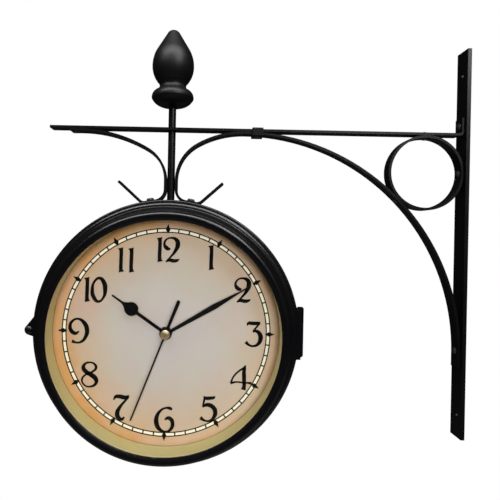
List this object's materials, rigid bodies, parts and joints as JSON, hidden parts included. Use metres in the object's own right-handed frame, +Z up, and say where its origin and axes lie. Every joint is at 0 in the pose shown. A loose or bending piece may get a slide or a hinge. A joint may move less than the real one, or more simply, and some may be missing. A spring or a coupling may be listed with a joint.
{
  "type": "double sided station clock",
  "caption": "Round drum clock with a dial on both faces, hung by a rod and scrolls under a wrought strip wall bracket with a pointed finial; the front half opens on a hinge.",
  "frame": {"origin": "on the wall plane at the back of the wall bar, midway between its two screw holes", "axes": "+X out of the back into the wall, +Z up; the clock hangs towards -X and its opening face looks along -Y"},
  "size_m": [0.3443, 0.0892, 0.337],
  "materials": {
    "bracket_paint": "satin gloss black paint",
    "finial_paint": "satin gloss black paint on a light casting",
    "case_paint": "gloss black paint",
    "fitting_paint": "satin black paint",
    "screw_steel": "plain bright",
    "lens_glass": "clear polished",
    "dial_print": "aged matt print",
    "ring_enamel": "satin olive cream enamel",
    "movement_plastic": "fine moulded texture",
    "gasket_rubber": "matt",
    "hand_black": "satin black lacquer",
    "cap_brass": "polished",
    "cell_jacket": "plain printed jacket"
  },
  "bodies": {
    "bracket": {"wall_bar": "bracket_paint", "top_arm": "bracket_paint", "brace": "bracket_paint", "outer_scroll": "bracket_paint", "corner_ring": "bracket_paint", "bracket_rivets": "bracket_paint", "arm_collar": "bracket_paint", "hanger_rod": "bracket_paint", "rod_nut": "screw_steel", "finial": "finial_paint", "foot_screws": "fitting_paint", "foot_nuts": "screw_steel", "rear_shell": "case_paint", "hinge_fixed_leaf": "fitting_paint", "hinge_fixed_rivets": "fitting_paint", "hinge_pin": "fitting_paint", "latch_fixed_lug": "fitting_paint", "rear_lens": "lens_glass", "rear_dial_ring": "ring_enamel", "rear_dial": "dial_print", "rear_dial_clips": "screw_steel", "rear_dial_screws": "screw_steel", "rear_movement_case": "movement_plastic", "rear_movement_cover": "movement_plastic", "rear_gasket": "gasket_rubber", "rear_fixing_nut": "hand_black", "rear_battery": "cell_jacket", "rear_battery_contacts": "screw_steel"},
    "door": {"front_shell": "case_paint", "hinge_door_leaf": "fitting_paint", "hinge_door_rivets": "fitting_paint", "latch_door_lug": "fitting_paint", "front_lens": "lens_glass", "front_dial_ring": "ring_enamel", "front_dial": "dial_print", "front_dial_clips": "screw_steel", "front_dial_screws": "screw_steel", "front_movement_case": "movement_plastic", "front_movement_cover": "movement_plastic", "front_gasket": "gasket_rubber", "front_fixing_nut": "hand_black", "front_battery": "cell_jacket", "front_battery_contacts": "screw_steel"},
    "front_hour": {"front_hour_hand": "hand_black", "front_hour_pipe": "cap_brass"},
    "front_minute": {"front_minute_hand": "hand_black", "front_minute_arbor": "cap_brass"},
    "front_second": {"front_second_hand": "hand_black", "front_second_cap": "cap_brass"},
    "front_knob": {"front_setting_knob": "movement_plastic"},
    "rear_hour": {"rear_hour_hand": "hand_black", "rear_hour_pipe": "cap_brass"},
    "rear_minute": {"rear_minute_hand": "hand_black", "rear_minute_arbor": "cap_brass"},
    "rear_second": {"rear_second_hand": "hand_black", "rear_second_cap": "cap_brass"},
    "rear_knob": {"rear_setting_knob": "movement_plastic"},
    "latch_screw": {"latch_screw": "screw_steel"}
  },
  "joints": [
    {"name": "front_door", "type": "hinge", "parent": "bracket", "child": "door", "pos_m": [-0.1306, -0.008, -0.071], "axis": [0, 0, 1], "range_deg": [0, 110]},
    {"name": "front_second_turn", "type": "hinge", "parent": "door", "child": "front_second", "pos_m": [-0.234, -0.0245, -0.071], "axis": [0, 1, 0], "continuous": true},
    {"name": "front_minute_turn", "type": "hinge", "parent": "door", "child": "front_minute", "pos_m": [-0.234, -0.0245, -0.071], "axis": [0, 1, 0], "continuous": true},
    {"name": "front_hour_turn", "type": "hinge", "parent": "door", "child": "front_hour", "pos_m": [-0.234, -0.0245, -0.071], "axis": [0, 1, 0], "continuous": true},
    {"name": "front_knob_turn", "type": "hinge", "parent": "door", "child": "front_knob", "pos_m": [-0.225, -0.0018, -0.062], "axis": [0, 1, 0], "continuous": true},
    {"name": "rear_second_turn", "type": "hinge", "parent": "bracket", "child": "rear_second", "pos_m": [-0.234, 0.0245, -0.071], "axis": [0, -1, 0], "continuous": true},
    {"name": "rear_minute_turn", "type": "hinge", "parent": "bracket", "child": "rear_minute", "pos_m": [-0.234, 0.0245, -0.071], "axis": [0, -1, 0], "continuous": true},
    {"name": "rear_hour_turn", "type": "hinge", "parent": "bracket", "child": "rear_hour", "pos_m": [-0.234, 0.0245, -0.071], "axis": [0, -1, 0], "continuous": true},
    {"name": "rear_knob_turn", "type": "hinge", "parent": "bracket", "child": "rear_knob", "pos_m": [-0.243, 0.0018, -0.062], "axis": [0, -1, 0], "continuous": true},
    {"name": "latch_screw_turn", "type": "hinge", "parent": "door", "child": "latch_screw", "pos_m": [-0.3405, -0.0114, -0.073], "axis": [0, -1, 0], "continuous": true}
  ],
  "couplings": [
    {"joint": "front_minute_turn", "follows": "front_second_turn", "ratio": 0.016667},
    {"joint": "front_hour_turn", "follows": "front_second_turn", "ratio": 0.0013889},
    {"joint": "front_knob_turn", "follows": "front_second_turn", "ratio": -0.0055556},
    {"joint": "rear_minute_turn", "follows": "rear_second_turn", "ratio": 0.016667},
    {"joint": "rear_hour_turn", "follows": "rear_second_turn", "ratio": 0.0013889},
    {"joint": "rear_knob_turn", "follows": "rear_second_turn", "ratio": -0.0055556}
  ]
}
